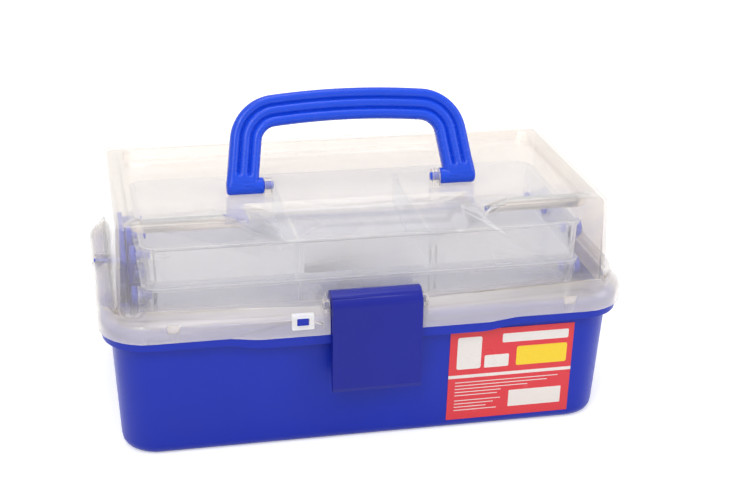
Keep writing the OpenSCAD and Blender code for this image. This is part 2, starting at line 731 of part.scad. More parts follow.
module latch_inner() {
    front_y = latch_line[0] - latch_roll + latch_wall;
    bottom = latch_line[1] - latch_drop;
    translate(latch_line) intersection() {
        circle(latch_roll - latch_wall);
        translate([-20, -2]) square([40, 30]);
    }
    polygon([[front_y, latch_line[1] + EPS], [front_y - latch_lean, bottom + 2],
             [front_y - latch_lean, bottom - 5], [latch_line[0] + 20, bottom - 5],
             [latch_line[0] + 20, latch_line[1] - 1.4], [latch_line[0], latch_line[1] - 1.4],
             [latch_line[0], latch_line[1] + EPS]]);
}

module latch() {
    half = latch_width / 2;
    color(LATCH_BLUE) {
        difference() {
            x_sheet(-half, half) latch_outer();
            x_sheet(-half + latch_wall, half - latch_wall) latch_inner();
        }
        // Hook that stops level with the foot of the rim's lip.
        x_sheet(-half + latch_wall - EPS, half - latch_wall + EPS)
            polygon([[-skirt_hy - 1.6, hook_z - 4], [cheek_back, hook_z - 1],
                     [cheek_back, hook_z], [-skirt_hy - 1.6, hook_z]]);
        both_sides() x_rod(half - latch_wall, half + latch_pin_reach, latch_line, latch_pin_radius);
    }
}

// ---- Label ----

label_thickness = 0.3;
label_right = tub_hx - 23;
label_bottom = tub_foot_radius + 0.2;

// Depth of the tub's front face at height z.
function front_face(z) =
    tub_hy - (tub_draft - 0.6) * (rim_z - z) / (rim_z - tub_foot_radius);

module front_label() {
    top = label_bottom + label_height;
    color(LABEL_RED) x_sheet(label_right - label_width, label_right)
        polygon([[-front_face(label_bottom), label_bottom], [-front_face(top), top],
                 [-front_face(top) - label_thickness, top],
                 [-front_face(label_bottom) - label_thickness, label_bottom]]);
}

tub();
lid();
hinge_pin(-1);  // hinge_pin_left
hinge_pin(1);  // hinge_pin_right
handle();
latch();
lower_tray();
upper_tray();
divider(tray_base_height, -1);  // lower_divider_left
divider(tray_base_height, 1);  // lower_divider_right
divider(upper_tray_z, -1);  // upper_divider_left
divider(upper_tray_z, 1);  // upper_divider_right
mirror([1, 0, 0]) long_arm();  // long_arm_left
long_arm();  // long_arm_right
mirror([1, 0, 0]) front_arm();  // front_arm_left
front_arm();  // front_arm_right
mirror([1, 0, 0]) rear_arm();  // rear_arm_left
rear_arm();  // rear_arm_right
mirror([1, 0, 0]) lid_link();  // lid_link_left
lid_link();  // lid_link_right
front_label();
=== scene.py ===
"""Two-tray storage box: moulded surfaces, finishes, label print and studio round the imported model.

Each sub-assembly is a class that holds its sizes in millimetres, builds its meshes and dresses
them. Lengths are turned into metres where a mesh is written.
"""

from __future__ import annotations

import json
import logging
import math
from dataclasses import dataclass, field
from enum import Enum

import bmesh
import bpy
import numpy as np
from mathutils import Matrix, Vector

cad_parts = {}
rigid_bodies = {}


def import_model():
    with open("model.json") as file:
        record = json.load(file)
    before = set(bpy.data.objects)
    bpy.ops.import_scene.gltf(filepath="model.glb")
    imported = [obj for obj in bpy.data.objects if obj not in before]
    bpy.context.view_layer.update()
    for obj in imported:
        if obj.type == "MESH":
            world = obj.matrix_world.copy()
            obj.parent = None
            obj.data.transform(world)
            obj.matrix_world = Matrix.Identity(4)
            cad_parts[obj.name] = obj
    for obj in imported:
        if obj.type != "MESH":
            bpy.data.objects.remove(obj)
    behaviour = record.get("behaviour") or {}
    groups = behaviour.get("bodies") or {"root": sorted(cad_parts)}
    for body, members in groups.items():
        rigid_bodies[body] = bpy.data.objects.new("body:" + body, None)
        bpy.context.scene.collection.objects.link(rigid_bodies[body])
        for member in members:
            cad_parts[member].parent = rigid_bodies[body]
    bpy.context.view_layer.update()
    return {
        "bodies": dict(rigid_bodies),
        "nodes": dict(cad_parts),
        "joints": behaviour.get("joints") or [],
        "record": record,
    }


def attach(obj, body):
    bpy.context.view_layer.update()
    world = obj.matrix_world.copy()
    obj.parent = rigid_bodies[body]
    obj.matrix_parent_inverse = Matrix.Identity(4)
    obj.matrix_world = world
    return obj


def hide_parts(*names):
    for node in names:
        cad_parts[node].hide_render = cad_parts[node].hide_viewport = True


LOG = logging.getLogger("storage_box")
MM = 0.001
IMAGE_WIDTH_PX = 745
SENSOR_MM = 36.0
WHITE = (1.0, 1.0, 1.0, 1.0)
WELD_M = 2e-6
FLAT_DEGREES = 0.02
ROUND_DEGREES = 35.0

Pair = tuple[float, float]
Colour = tuple[float, float, float]
Place = tuple[float, float, float]
Array = np.ndarray
Shell = tuple[Array, list[list[int]]]
Socket = bpy.types.NodeSocket
Material = bpy.types.Material
Mesh = bpy.types.Mesh
Piece = bpy.types.Object


class Slot(Enum):
    """The finishes that the record names, one for each moulding material."""

    TUB = "tub_blue"
    HANDLE = "handle_blue"
    LATCH = "latch_blue"
    ARM = "arm_blue"
    LID = "clear_lid"
    TRAY = "clear_tray"
    STEEL = "steel"
    LABEL = "label"


class Side(Enum):
    """The two ends of the box, with the sign of X on each."""

    LEFT = -1
    RIGHT = 1


# ---- Shader building ----


@dataclass(frozen=True)
class Spread:
    """Part of a noise's range, spread over a range of values.

    Attributes:
        cells: Cells of the noise in a metre.
        target: Values at the ends of the part.
        source: The part of the noise's range.
        detail: Octaves of the noise.
        stretch: Its scale along each axis, for streaks.
    """

    cells: float
    target: Pair = (0.0, 1.0)
    source: Pair = (0.3, 0.7)
    detail: float = 3.0
    stretch: Place | None = None


class ShaderTree:
    """The node tree of a material or a world, with short calls that add and join nodes."""

    def __init__(self, name: str, world: bool = False) -> None:
        """Starts a new material, or a new world, with only its output."""
        self.owner = (bpy.data.worlds if world else bpy.data.materials).new(name)
        self.owner.use_nodes = True
        self.tree = self.owner.node_tree
        self.tree.nodes.clear()
        self.output = self.add("OutputWorld" if world else "OutputMaterial")
        self.place = self.add("TexCoord").outputs["Object"]

    def add(self, kind: str, settings: dict | None = None, **inputs: object) -> bpy.types.Node:
        """Adds a node and fills its inputs.

        Args:
            kind: The node type without its "ShaderNode" prefix.
            settings: Properties of the node itself.
            **inputs: Input names, with "_" for a space, and a value or a socket for each.

        Returns:
            The new node.
        """
        node = self.tree.nodes.new("ShaderNode" + kind)
        for key, value in (settings or {}).items():
            setattr(node, key, value)
        for key, value in inputs.items():
            self.feed(node.inputs[key.replace("_", " ")], value)
        return node

    def feed(self, socket: Socket, value: object) -> None:
        """Joins an input to another socket, or sets its plain value."""
        if isinstance(value, Socket):
            self.tree.links.new(value, socket)
        else:
            socket.default_value = value

    def fill(self, node: bpy.types.Node, *values: object) -> Socket:
        """Feeds a node's inputs in their order and returns its first output."""
        for socket, value in zip(node.inputs, values):
            self.feed(socket, value)
        return node.outputs[0]

    def math(self, operation: str, *values: object) -> Socket:
        """Adds a Math node and returns its output."""
        return self.fill(self.add("Math", {"operation": operation}), *values)

    def mix(self, *values: object) -> Socket:
        """Mixes two shaders by a factor, which comes first, and returns the result."""
        return self.fill(self.add("MixShader"), *values)

    def seen(self) -> Socket:
        """1 for rays of sight, mirrors and glass, and 0 for all others."""
        path = self.add("LightPath").outputs
        back = self.math("MAXIMUM", path["Is Glossy Ray"], path["Is Transmission Ray"])
        return self.math("MAXIMUM", path["Is Camera Ray"], back)

    def noise(self, spread: Spread) -> Socket:
        """Adds a spread's noise on Object coordinates and returns its factor, from 0 to 1."""
        where = self.place
        if spread.stretch is not None:
            where = self.add("Mapping", Vector=where, Scale=spread.stretch).outputs["Vector"]
        node = self.add("TexNoise", Vector=where, Scale=spread.cells, Detail=spread.detail)
        return node.outputs["Fac"]

    def span(self, value: Socket, source: Pair, target: Pair) -> Socket:
        """Maps a value from one range to another, held inside the second."""
        return self.fill(self.add("MapRange", {"clamp": True}), value, *source, *target)

    def wander(self, spread: Spread, middle: float = 0.0) -> Socket:
        """The value of a spread at each place, with its target moved to a middle."""
        target = tuple(middle + value for value in spread.target)
        return self.span(self.noise(spread), spread.source, target)

    def blend(self, factor: object, low: object, high: object) -> Socket:
        """Mixes two colours and returns the result."""
        low, high = (c if isinstance(c, Socket) else (*c, 1.0) for c in (low, high))
        node = self.add("Mix", {"data_type": "RGBA"}, Factor=factor, A=low, B=high)
        return node.outputs["Result"]

    def rounded(self, radius_mm: float, samples: int) -> Socket:
        """The normal of edges that are rounded by a radius in millimetres."""
        return self.add("Bevel", {"samples": samples}, Radius=radius_mm * MM).outputs["Normal"]

    def close(self, surface: Socket) -> bpy.types.ID:
        """Joins a surface to the output and returns the material or the world."""
        self.feed(self.output.inputs["Surface"], surface)
        return self.owner


def linear(*screen: int) -> Colour:
    """Turns a screen's colour of 0 to 255 into light values: a straight foot, then a power."""
    knee, slope, offset, power = 0.04045, 12.92, 0.055, 2.4
    return tuple(c / slope if c <= knee else ((c + offset) / (1 + offset)) ** power
                 for c in (value / 255 for value in screen))


def shade(colour: Colour, factor: float) -> Colour:
    """The colour made darker or lighter by a factor, at most 1 in each channel."""
    return tuple(min(c * factor, 1.0) for c in colour)


def faded(colour: Colour, share: float) -> Colour:
    """The colour with a share of white in it."""
    return tuple((1 - share) * c + share for c in colour)


@dataclass(frozen=True)
class MouldedPlastic:
    """Coloured polypropylene straight from the mould, with soft gloss and round edges.

    Attributes:
        name: The material's name.
        colour: The plastic's colour, in light values.
        roughness: Middle of its roughness.
        mottle: How far the colour wanders, as a share.
        peel: Strength of the orange-peel bump.
        peel_m: Height of that bump, in metres.
        peel_noise: Its noise.
        edge: Radius at which edges catch the light, in millimetres, and its samples.
        cloud: Noise of the colour.
        scuff: What fine scuffs add to the roughness.
        gloss: How the roughness wanders.
        ior: Index of refraction.
    """

    name: str
    colour: Colour
    roughness: float = 0.34
    mottle: float = 0.07
    peel: float = 0.10
    peel_m: float = 0.0002
    peel_noise: Spread = Spread(900.0, detail=2.0)
    edge: tuple[float, int] = (0.45, 12)
    cloud: Spread = Spread(14.0)
    scuff: Spread = Spread(60.0, (0.0, 0.10), (0.56, 0.72), 4.0, (1.0, 9.0, 9.0))
    gloss: Spread = Spread(38.0, (-0.05, 0.05), (0.25, 0.75), 4.0)
    ior: float = 1.4

    def material(self) -> Material:
        """Builds cloudy colour, scuffs in the roughness, and a fine peel over rounded edges."""
        tree = ShaderTree(self.name)
        cloud = tree.blend(tree.wander(self.cloud), shade(self.colour, 1 - self.mottle),
                           shade(self.colour, 1 + self.mottle))
        rough = tree.math("ADD", tree.wander(self.scuff), tree.wander(self.gloss, self.roughness))
        bump = tree.add("Bump", Strength=self.peel, Distance=self.peel_m,
                        Height=tree.noise(self.peel_noise),
                        Normal=tree.rounded(*self.edge))
        shader = tree.add("BsdfPrincipled", Base_Color=cloud, Roughness=rough, IOR=self.ior,
                          Normal=bump.outputs["Normal"])
        return tree.close(shader.outputs["BSDF"])


@dataclass(frozen=True)
class MilkyPlastic:
    """Uncoloured polypropylene: clear, with a milk that gathers where it is seen edge-on.

    Attributes:
        name: The material's name.
        colour: Tint of the milk. In the trays' finish it also holds painted blue light cast by the
            tub.
        milk: Share of the light that the milk stops at one face.
        clear: What one face leaves of each colour of the light that goes straight through.
        edge_milk: How much more it stops where the face is seen edge-on, and the power that
            narrows that zone.
        line_milk: How much more it stops along the moulding's edges.
        line_span: Cosine of an edge's bend where this starts and where it is full.
        foot_milk: How much more it stops in the thick flange and skirt.
        foot_span: Heights in metres between which that sets in.
        flow: How the milk wanders, as a share.
        tint: Noise of the tint.
        tint_shade: How much darker the tint gets.
        body: Roughness of the milk, its index of refraction, and its share of light let through.
        roughness: Roughness of the gloss.
        gloss: How that roughness wanders.
        mirror: Gloss of a face seen square on, what it gains edge-on, and the power of the gain.
        lamp_ease: How much of the milk the lamps' shadows skip.
        edge: Radius at which edges catch the light, in millimetres, and its samples.
    """

    name: str
    colour: Colour
    milk: float = 0.13
    clear: Colour = (0.99, 0.992, 1.0)
    edge_milk: Pair = (0.5, 3.0)
    line_milk: float = 0.6
    line_span: Pair = (0.985, 0.85)
    foot_milk: float = 0.0
    foot_span: Pair = (86 * MM, 79 * MM)
    flow: Spread = Spread(20.0, (0.86, 1.16), detail=5.0, stretch=(1.0, 1.0, 2.2))
    tint: Spread = Spread(11.0, source=(0.35, 0.65))
    tint_shade: float = 0.975
    body: tuple[float, float, float] = (0.5, 1.3, 0.15)
    roughness: float = 0.16
    gloss: Spread = Spread(34.0, (-0.04, 0.05), detail=4.0)
    mirror: tuple[float, float, float] = (0.04, 0.9, 5.0)
    lamp_ease: float = 0.9
    edge: tuple[float, int] = (0.5, 10)

    def milkiness(self, tree: ShaderTree, rounded: Socket, facing: Socket) -> Socket:
        """How much of the light the milk stops.

        Args:
            tree: The material's nodes.
            rounded: The normal of the rounded edges.
            facing: 0 where a face is seen square on and 1 where it is seen edge-on.

        Returns:
            The sum of the milk times its noise, the edge-on share times a power of facing, the
            foot's share by height and the edges' share by their bend, at most 1.
        """
        share, power = self.edge_milk
        edge = tree.math("MULTIPLY", tree.math("POWER", facing, power), share)
        body = tree.math("MULTIPLY", tree.wander(self.flow), self.milk)
        height = tree.add("SeparateXYZ", Vector=tree.place).outputs["Z"]
        foot = tree.span(height, self.foot_span, (0.0, self.foot_milk))
        bend = tree.add("VectorMath", {"operation": "DOT_PRODUCT"})
        tree.fill(bend, rounded, tree.add("NewGeometry").outputs["Normal"])
        line = tree.span(bend.outputs["Value"], self.line_span, (0.0, self.line_milk))
        milk = tree.math("ADD", tree.math("ADD", edge, body), foot)
        return tree.math("MINIMUM", tree.math("ADD", milk, line), 1.0)

    def material(self) -> Material:
        """Builds a clear shell with cloudy milk in it, under a glossy face."""
        tree = ShaderTree(self.name)
        rounded = tree.rounded(*self.edge)
        facing = tree.add("LayerWeight", Blend=0.5, Normal=rounded).outputs["Facing"]
        lamp = tree.add("LightPath").outputs["Is Shadow Ray"]
        eased = tree.math("SUBTRACT", 1.0, tree.math("MULTIPLY", lamp, self.lamp_ease))
        milk = tree.math("MULTIPLY", self.milkiness(tree, rounded, facing), eased)
        tint = tree.blend(tree.wander(self.tint), self.colour, shade(self.colour, self.tint_shade))
        matt, ior, through = self.body
        body = tree.add("BsdfPrincipled", Base_Color=tint, Roughness=matt, IOR=ior,
                        Transmission_Weight=through, Normal=rounded)
        clear = tree.add("BsdfTransparent", Color=(*self.clear, 1.0))
        cloudy = tree.mix(milk, clear.outputs["BSDF"], body.outputs["BSDF"])
        gloss = tree.add("BsdfGlossy", Color=WHITE, Normal=rounded,
                         Roughness=tree.wander(self.gloss, self.roughness))
        base, gain, power = self.mirror
        rise = tree.math("MULTIPLY", tree.math("POWER", facing, power), gain)
        mirror = tree.math("MULTIPLY", tree.math("ADD", base, rise),
                           tree.math("SUBTRACT", 1.0, lamp))
        return tree.close(tree.mix(mirror, cloudy, gloss.outputs["BSDF"]))


@dataclass(frozen=True)
class DrawnSteel:
    """Bright drawn wire, with fine lines round it and a few dull spots.

    Attributes:
        name: The material's name.
        colour: The steel's colour, in light values.
        lines: How the roughness wanders along the drawn lines.
        line_bump: Strength of their bump and its height in metres.
        spots: How far dull spots go.
        spot_shade: How dark they get.
    """

    name: str = "drawn_steel"
    colour: Colour = (0.56, 0.57, 0.59)
    lines: Spread = Spread(40.0, (0.22, 0.4), detail=2.0, stretch=(60.0, 1.0, 1.0))
    line_bump: Pair = (0.1, 0.0001)
    spots: Spread = Spread(300.0, (0.0, 0.5), (0.55, 0.7))
    spot_shade: float = 0.6

    def material(self) -> Material:
        """Builds the node tree and returns the material."""
        tree = ShaderTree(self.name)
        lines = tree.noise(self.lines)
        spot = shade(self.colour, self.spot_shade)
        dull = tree.blend(tree.wander(self.spots), self.colour, spot)
        strength, height = self.line_bump
        bump = tree.add("Bump", Strength=strength, Distance=height, Height=lines)
        shader = tree.add("BsdfPrincipled", Base_Color=dull, Metallic=1.0,
                          Roughness=tree.span(lines, self.lines.source, self.lines.target),
                          Normal=bump.outputs["Normal"])
        return tree.close(shader.outputs["BSDF"])


@dataclass(frozen=True)
class PrintedFilm:
    """Glossy printed film, as on a stuck label: one ink with a fine screen and faint rubbing.

    Attributes:
        name: The material's name.
        ink: The ink's colour, in light values.
        screen: Noise of the print's screen.
        screen_swing: How much darker or lighter it gets, as a share.
        rub: How far rubbed places turn pale.
        rub_white: Share of white in the pale ink.
        roughness: Middle of its roughness.
        gloss: How the roughness wanders.
        wave: Noise of the film's waves.
        wave_bump: Strength of their bump and its height in metres.
        ior: Index of refraction.
    """

    name: str
    ink: Colour
    screen: Spread = Spread(2600.0, source=(0.35, 0.65), detail=1.0)
    screen_swing: float = 0.04
    rub: Spread = Spread(90.0, (0.0, 0.18), (0.62, 0.74), 5.0)
    rub_white: float = 0.3
    roughness: float = 0.3
    gloss: Spread = Spread(45.0, (-0.05, 0.08))
    wave: Spread = Spread(240.0, detail=2.0)
    wave_bump: Pair = (0.08, 0.0001)
    ior: float = 1.5

    def material(self) -> Material:
        """Builds the node tree and returns the material."""
        tree = ShaderTree(self.name)
        ink = tree.blend(tree.wander(self.screen), shade(self.ink, 1 - self.screen_swing),
                         shade(self.ink, 1 + self.screen_swing))
        colour = tree.blend(tree.wander(self.rub), ink, faded(self.ink, self.rub_white))
        strength, height = self.wave_bump
        bump = tree.add("Bump", Strength=strength, Distance=height, Height=tree.noise(self.wave))
        shader = tree.add("BsdfPrincipled", Base_Color=colour, IOR=self.ior,
                          Roughness=tree.wander(self.gloss, self.roughness),
                          Normal=bump.outputs["Normal"])
        return tree.close(shader.outputs["BSDF"])


Finish = MouldedPlastic | MilkyPlastic | DrawnSteel | PrintedFilm


@dataclass
class Finishes:
    """Every finish of the box, made once and shared by its pieces.

    Attributes:
        made: Materials that are made already.
        finishes: The finish of each slot.
    """

    made: dict[Slot, Material] = field(default_factory=dict)
    finishes: dict[Slot, Finish] = field(default_factory=lambda: {
        Slot.TUB: MouldedPlastic("tub_plastic", linear(6, 40, 172), 0.36),
        Slot.HANDLE: MouldedPlastic("handle_plastic", linear(16, 72, 214), 0.25, peel=0.02),
        # The latch's blue is darker than the tub's, in part as painted shade that darkens its front
        # face.
        Slot.LATCH: MouldedPlastic("latch_plastic_painted_shade", linear(2, 20, 142), 0.34, peel=0.0),
        Slot.ARM: MouldedPlastic("arm_plastic", linear(40, 66, 206), 0.33),
        Slot.LID: MilkyPlastic("lid_plastic", (0.95, 0.915, 0.88), milk=0.11,
                               clear=(0.956, 0.934, 0.91), foot_milk=0.2),
        # The trays' blue tint is painted light: it stands in for the tub's blue light coming through
        # and off the tray walls.
        Slot.TRAY: MilkyPlastic("tray_plastic_painted_blue", (0.84, 0.91, 1.0), milk=0.2),
        Slot.STEEL: DrawnSteel(),
        Slot.LABEL: PrintedFilm("label_red", linear(224, 52, 62)),
    })

    def of(self, slot: Slot) -> Material:
        """The material of a slot, made when it is first asked for."""
        if slot not in self.made:
            self.made[slot] = self.finishes[slot].material()
        return self.made[slot]


# ---- Mesh building ----


def grid_faces(rows: int, columns: int, round_columns: bool) -> Array:
    """Quads of a grid of points stored row by row.

    Args:
        rows: Number of rows.
        columns: Points in a row.
        round_columns: Whether each row closes on itself.

    Returns:
        Rows of four corner numbers: (i, j), (i, j + 1), (i + 1, j + 1) and (i + 1, j).
    """
    i, j = np.meshgrid(np.arange(rows - 1), np.arange(columns if round_columns else columns - 1),
                       indexing="ij")
    k = (j + 1) % columns
    quads = np.stack([i * columns + j, i * columns + k, (i + 1) * columns + k,
                      (i + 1) * columns + j], axis=-1)
    return quads.reshape(-1, 4)


def tube_mesh(rings: Array) -> Shell:
    """A closed surface through rings, as (ring, place round it, xyz), with a fan at each end."""
    count, around, _ = rings.shape
    points = np.concatenate([rings.reshape(-1, 3), rings[[0, -1]].mean(axis=1)])
    j = np.arange(around)
    k, rim, tip = (j + 1) % around, (count - 1) * around, np.full(around, count * around)
    start = np.stack([k, j, tip], axis=-1)
    end = np.stack([rim + j, rim + k, tip + 1], axis=-1)
    return points, grid_faces(count, around, True).tolist() + start.tolist() + end.tolist()


def revolved(profile: Array, around: int = 48) -> Array:
    """Rings of a profile, as rows of place along X and radius, turned about the X axis."""
    turn = np.linspace(0, 2 * math.pi, around, endpoint=False)
    x = np.repeat(profile[:, :1], around, axis=1)
    return np.stack([x, profile[:, 1:] * np.cos(turn), profile[:, 1:] * np.sin(turn)], axis=-1)


def rounded_rectangle(width: float, height: float, radius: float, steps: int = 6) -> Array:
    """Outline of a rectangle with round corners, as rows of x and y from its lower left one."""
    corners = np.array([[width - radius, radius], [width - radius, height - radius],
                        [radius, height - radius], [radius, radius]])
    start = np.array([-0.5, 0.0, 0.5, 1.0]) * math.pi
    turn = start[:, None] + np.linspace(0, math.pi / 2, steps + 1)
    arc = np.stack([np.cos(turn), np.sin(turn)], axis=-1) * radius
    return (corners[:, None] + arc).reshape(-1, 2)


def points_of(mesh: Mesh) -> Array:
    """A mesh's points, as rows of x, y and z in millimetres."""
    co = np.zeros(len(mesh.vertices) * 3)
    mesh.vertices.foreach_get("co", co)
    return co.reshape(-1, 3) / MM


def smooth(mesh: Mesh, angle: float) -> None:
    """Smooths all edges of a mesh that are flatter than an angle in degrees."""
    mesh.polygons.foreach_set("use_smooth", np.ones(len(mesh.polygons), bool))
    mesh.set_sharp_from_angle(angle=math.radians(angle))


def linked(name: str, data: bpy.types.ID) -> Piece:
    """A new object of the scene, at the origin."""
    piece = bpy.data.objects.new(name, data)
    bpy.context.scene.collection.objects.link(piece)
    return piece


def new_piece(name: str, parts: list[Shell], material: Material) -> Piece:
    """Makes an object at the origin from surfaces given in millimetres.

    Args:
        name: The piece's name.
        parts: Points and faces of each of its shells.
        material: Its finish.

    Returns:
        The object, smooth but for its sharp edges, with its faces outwards.
    """
    points, faces, base = [], [], 0
    for shell_points, shell_faces in parts:
        points.append(shell_points * MM)
        faces += [[corner + base for corner in face] for face in shell_faces]
        base += len(shell_points)
    mesh = bpy.data.meshes.new(name)
    mesh.from_pydata(np.concatenate(points), [], faces)
    work = bmesh.new()
    work.from_mesh(mesh)
    bmesh.ops.recalc_face_normals(work, faces=work.faces)
    work.to_mesh(mesh)
    work.free()
    smooth(mesh, ROUND_DEGREES)
    mesh.materials.append(material)
    return linked(name, mesh)


@dataclass
class Moulding:
    """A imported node's own shape with its loose faces joined, smoothed and dressed.

    Attributes:
        node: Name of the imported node.
        body: Name of the body that it rides on.
        slot: Its finish.
        angle: Edges flatter than this many degrees are smoothed.
    """

    node: str
    body: str
    slot: Slot
    angle: float = 32.0

    def build(self, frame: dict, finishes: Finishes) -> Piece:
        """Copies the node's mesh, joins it and smooths its round edges.

        Args:
            finishes: The box's finishes.

        Returns:
            The new piece, which stands for the node.
        """
        mesh = frame["nodes"][self.node].data.copy()
        mesh.name = f"{self.node}_moulding"
        work = bmesh.new()
        work.from_mesh(mesh)
        bmesh.ops.remove_doubles(work, verts=work.verts, dist=WELD_M)
        bmesh.ops.dissolve_limit(work, angle_limit=math.radians(FLAT_DEGREES), verts=work.verts,
                                 edges=work.edges)
        work.to_mesh(mesh)
        work.free()
        mesh.vertices.foreach_set("co", (self.reshape(points_of(mesh)) * MM).ravel())
        mesh.update()
        smooth(mesh, self.angle)
        mesh.materials.clear()
        mesh.materials.append(finishes.of(self.slot))
        piece = linked(mesh.name, mesh)
        flat = piece.modifiers.new("flat_faces", "WEIGHTED_NORMAL")
        flat.keep_sharp = True
        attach(piece, self.body)
        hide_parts(self.node)
        return piece

    def reshape(self, points: Array) -> Array:
        """Leaves the moulding's points, in millimetres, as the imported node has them."""
        return points


@dataclass
class LidMoulding(Moulding):
    """The clear lid, with a fuller front flange, a shorter skirt and steeper end walls.

    Attributes:
        foot_z: Underside of the lid over the rim.
        skirt_share: Height of the dressed skirt as a share of the node's.
        skirt_back: Where the skirt ends, ahead of the hinges.
        flange_band: Heights between which the flange's round edge lies.
        flange_sides: Ahead of this along Y, or further out than this along X, it is flange.
        flange_lift: How far the flange's top rises towards the corners.
        lift_span: Distances from the middle at which it starts to rise and is fully risen.
        lift_back: Where its rise has died away, along Y.
        lift_fade: Length over which it dies away.
        wall_band: Distances from the middle between which the end walls lie.
        wall_reach: How far the top of each end wall moves outwards.
        wall_top: Height at which it has moved that far.
        corner: Middle of the walls' corner arcs at the foot.
        corner_lean: How far that middle moves inwards up to wall_top.
        corner_radius: Largest radius of those arcs.
        corner_slack: How far outside the arcs a point may lie and still be moved.
        corner_cut: How much smaller the dressed arcs are.
        near: Points nearer to a limit than this lie on it.
        eye_x: Middle of the low frame of the padlock eye, and half its width.
        eye_limits: The frame lies ahead of this along Y, and under this.
        eye_shift: How far it moves along X and upwards.
    """

    foot_z: float = 75.4
    skirt_share: float = 0.62
    skirt_back: float = 60.0
    flange_band: Pair = (71.3, 78.0)
    flange_sides: Pair = (-65.0, 130.5)
    flange_lift: float = 3.9
    lift_span: Pair = (24.0, 112.0)
    lift_back: float = -36.0
    lift_fade: float = 14.0
    wall_band: Pair = (105.0, 133.0)
    wall_reach: float = 2.2
    wall_top: float = 123.5
    corner: Pair = (118.5, 53.0)
    corner_lean: Pair = (2.0, 1.0)
    corner_radius: float = 13.0
    corner_slack: float = 0.4
    corner_cut: float = 6.5
    near: float = 0.01
    eye_x: Pair = (-36.0, 5.6)
    eye_limits: Pair = (-79.2, 75.2)
    eye_shift: Pair = (-2.6, 3.0)

    def rise(self, z: Array) -> Array:
        """Share of the walls' height at which points stand, from 0 to 1."""
        return np.clip((z - self.foot_z) / (self.wall_top - self.foot_z), 0.0, 1.0)

    def reshape(self, points: Array) -> Array:
        """Moves the lid's edges.

        Args:
            points: Rows of x, y and z in millimetres.

        Returns:
            The same rows. Under the foot, and ahead of the hinges, heights below the foot are
            shrunk by the skirt's share. The flange's outer points rise by its lift times a ramp
            along X and a fade along Y. Points of the end walls move outwards in proportion to
            their height over the foot. In the walls' corners, each point's distance from the
            arc's middle loses the cut, and the middle moves outwards by it along X and Y. The
            low frame of the padlock eye moves along X and Z by its shift.
        """
        x, y, z = self.sharpen(points).T.copy()
        eye = (y < self.eye_limits[0]) & (z < self.eye_limits[1])
        eye &= np.abs(x - self.eye_x[0]) < self.eye_x[1]
        x = np.where(eye, x + self.eye_shift[0], x)
        reach = np.abs(x)
        flange = (z > self.flange_band[0]) & (z < self.flange_band[1]) & (y < self.lift_back)
        flange &= np.abs(z - self.foot_z) > self.near
        flange &= (y < self.flange_sides[0]) | (reach > self.flange_sides[1])
        start, full = self.lift_span
        ramp = np.clip((reach - start) / (full - start), 0.0, 1.0)
        fade = np.clip((self.lift_back - y) / self.lift_fade, 0.0, 1.0)
        skirt = (z < self.foot_z) & ~flange & (y < self.skirt_back)
        end = (reach > self.wall_band[0]) & (reach < self.wall_band[1]) & (z > self.foot_z)
        x = np.where(end, x + np.sign(x) * (self.wall_reach * self.rise(z)), x)
        z = np.where(flange, z + self.flange_lift * ramp * fade,
                     np.where(skirt, self.foot_z - (self.foot_z - z) * self.skirt_share, z))
        z = np.where(eye, z + self.eye_shift[1], z)
        return np.stack([x, y, z], axis=-1)

    def sharpen(self, points: Array) -> Array:
        """Makes the corner arcs of the lid's walls tighter, as reshape says."""
        plan, z = points[:, :2], points[:, 2]
        share = self.rise(z)
        middle = np.array(self.corner) - share[:, None] * np.array(self.corner_lean)
        offset = np.abs(plan) - middle
        away = np.linalg.norm(offset, axis=1)
        radius = self.corner_radius - share * self.corner_lean[0]
        inside = (offset > -self.near).all(axis=1) & (z > self.foot_z - self.near)
        inside &= (away < radius + self.corner_slack) & (away > self.corner_cut)
        scale = (away - self.corner_cut) / np.maximum(away, self.corner_cut)
        moved = np.sign(plan) * (middle + self.corner_cut + offset * scale[:, None])
        return np.concatenate([np.where(inside[:, None], moved, plan), points[:, 2:]], axis=1)


